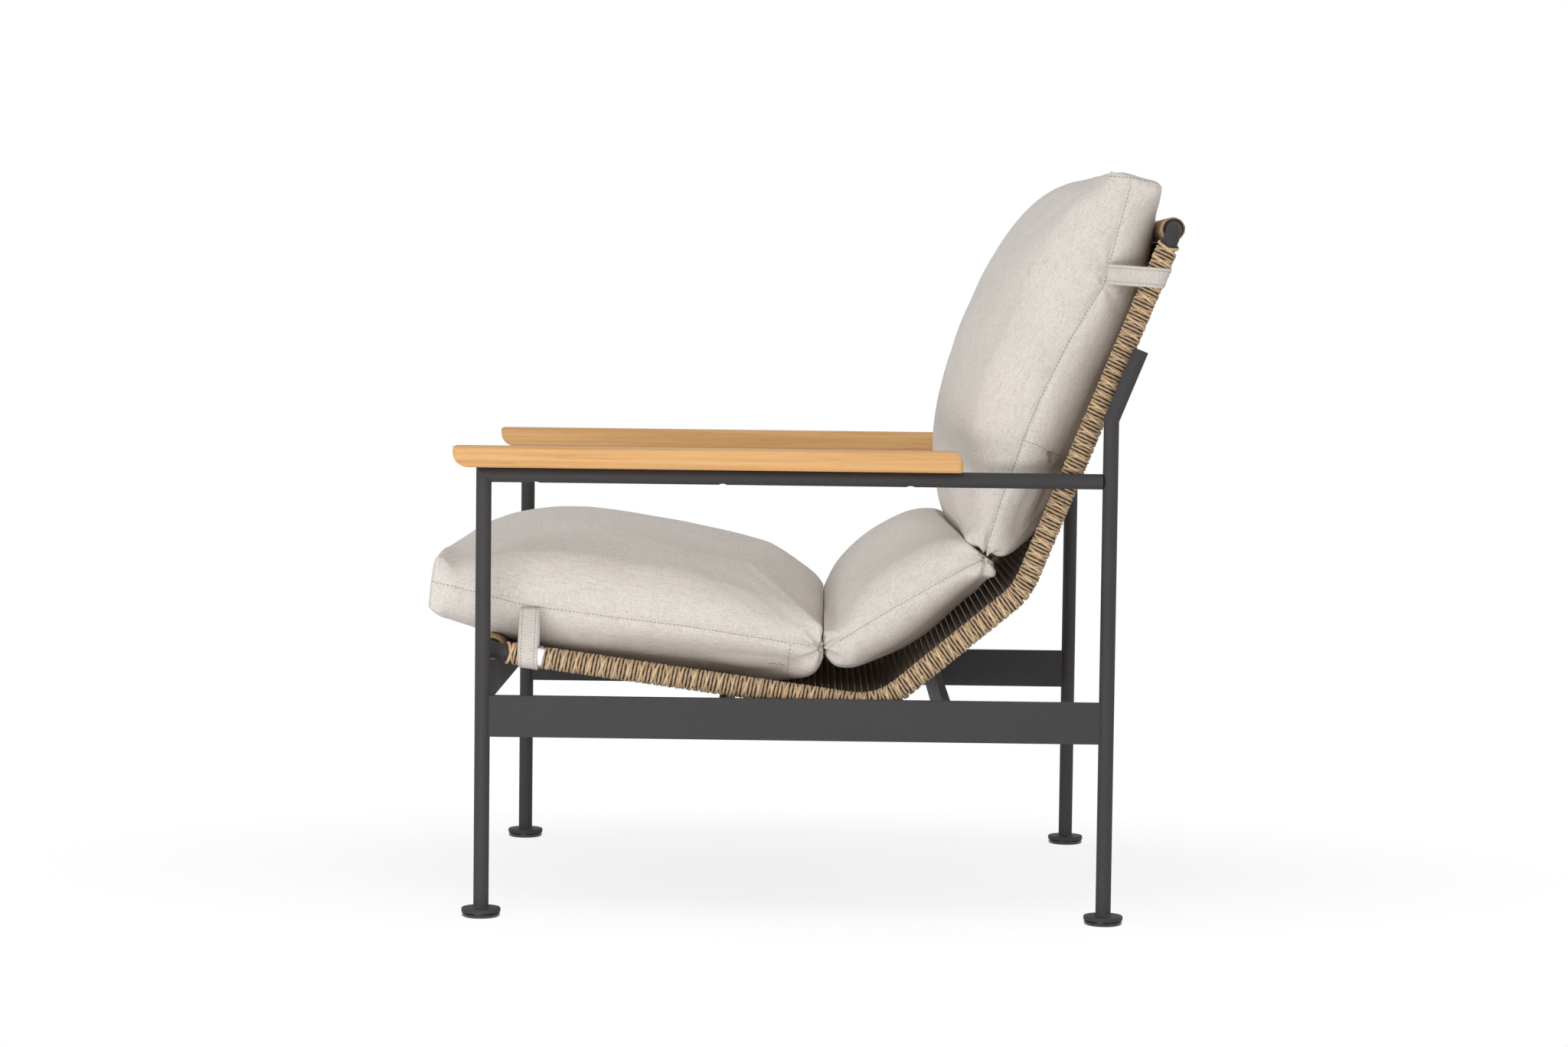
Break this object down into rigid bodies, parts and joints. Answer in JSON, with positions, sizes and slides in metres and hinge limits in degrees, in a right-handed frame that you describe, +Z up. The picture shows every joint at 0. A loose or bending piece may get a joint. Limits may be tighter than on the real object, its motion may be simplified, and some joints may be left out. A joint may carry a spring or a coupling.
{
  "type": "outdoor lounge armchair",
  "caption": "Lounge armchair with a slim coated tube base, flat teak armrests, a bent tube sling wound and strung with rope, and a thick sectioned cushion with side straps.",
  "frame": {"origin": "on the floor at the centre of the chair's footprint", "axes": "+Z up, the chair faces -Y, +X is the sitter's left"},
  "size_m": [0.706, 0.8979, 0.8848],
  "materials": {
    "frame_coat": "matte charcoal powder coat",
    "teak": "sanded, oiled",
    "rope": "straw-coloured twisted cord",
    "cushion_fabric": "woven linen look, heathered",
    "strap_webbing": "woven, folded and stitched",
    "screw_steel": "plain",
    "glide_plastic": "gloss"
  },
  "bodies": {
    "root": {"front_leg_left": "frame_coat", "front_leg_right": "frame_coat", "rear_leg_left": "frame_coat", "rear_leg_right": "frame_coat", "leg_cap_left": "frame_coat", "leg_cap_right": "frame_coat", "foot_disc_front_left": "frame_coat", "foot_disc_front_right": "frame_coat", "foot_disc_rear_left": "frame_coat", "foot_disc_rear_right": "frame_coat", "foot_glide_front_left": "glide_plastic", "foot_glide_front_right": "glide_plastic", "foot_glide_rear_left": "glide_plastic", "foot_glide_rear_right": "glide_plastic", "arm_rail_left": "frame_coat", "arm_rail_right": "frame_coat", "side_stretcher_left": "frame_coat", "side_stretcher_right": "frame_coat", "front_crossbar": "frame_coat", "middle_crossbar": "frame_coat", "rear_crossbar": "frame_coat", "back_crossbar": "frame_coat", "armrest_left": "teak", "armrest_right": "teak", "armrest_screws_left": "screw_steel", "armrest_screws_right": "screw_steel", "sling_rail_left": "frame_coat", "sling_rail_right": "frame_coat", "sling_front_rail": "frame_coat", "sling_top_rail": "frame_coat", "rope_wrap_left": "rope", "rope_wrap_right": "rope", "rope_wrap_front": "rope", "rope_wrap_top": "rope", "seat_webbing": "rope", "lumbar_webbing": "rope", "back_webbing": "rope", "sling_tab": "frame_coat", "tab_bolts": "screw_steel", "back_bolts": "screw_steel", "seat_pad": "cushion_fabric", "lumbar_pad": "cushion_fabric", "back_pad": "cushion_fabric", "seat_strap_left": "strap_webbing", "seat_strap_right": "strap_webbing", "back_strap_left": "strap_webbing", "back_strap_right": "strap_webbing"}
  },
  "joints": []
}
